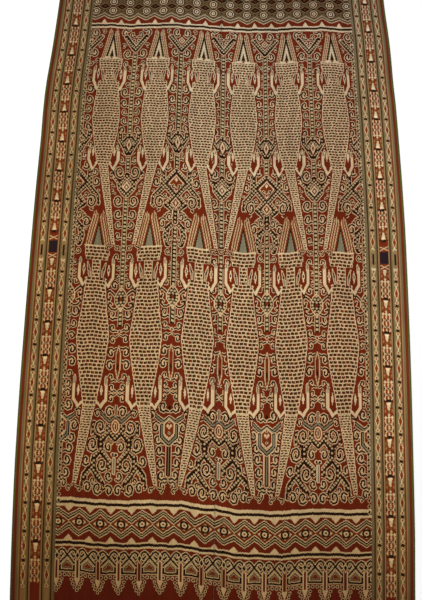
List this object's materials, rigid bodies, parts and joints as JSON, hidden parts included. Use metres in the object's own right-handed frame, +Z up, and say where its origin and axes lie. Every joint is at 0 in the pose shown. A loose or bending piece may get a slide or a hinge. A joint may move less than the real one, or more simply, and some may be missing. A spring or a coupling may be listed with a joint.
{
  "type": "ikat woven cloth",
  "caption": "Large rectangular warp-ikat blanket of loom panels sewn edge to edge, with hemmed ends, lying flat with low soft ridges.",
  "frame": {"origin": "middle of the cloth on the surface it lies on", "axes": "+Z up out of the patterned face, +Y along the warp towards the upper end, +X across towards the right selvedge"},
  "size_m": [1.1602, 2.36, 0.0043],
  "materials": {
    "dyed_cotton": "matt warp-faced plain weave, maroon red with cream, black-brown and olive resist-dyed pattern"
  },
  "bodies": {
    "root": {"panel_left": "dyed_cotton", "panel_right": "dyed_cotton"}
  },
  "joints": []
}
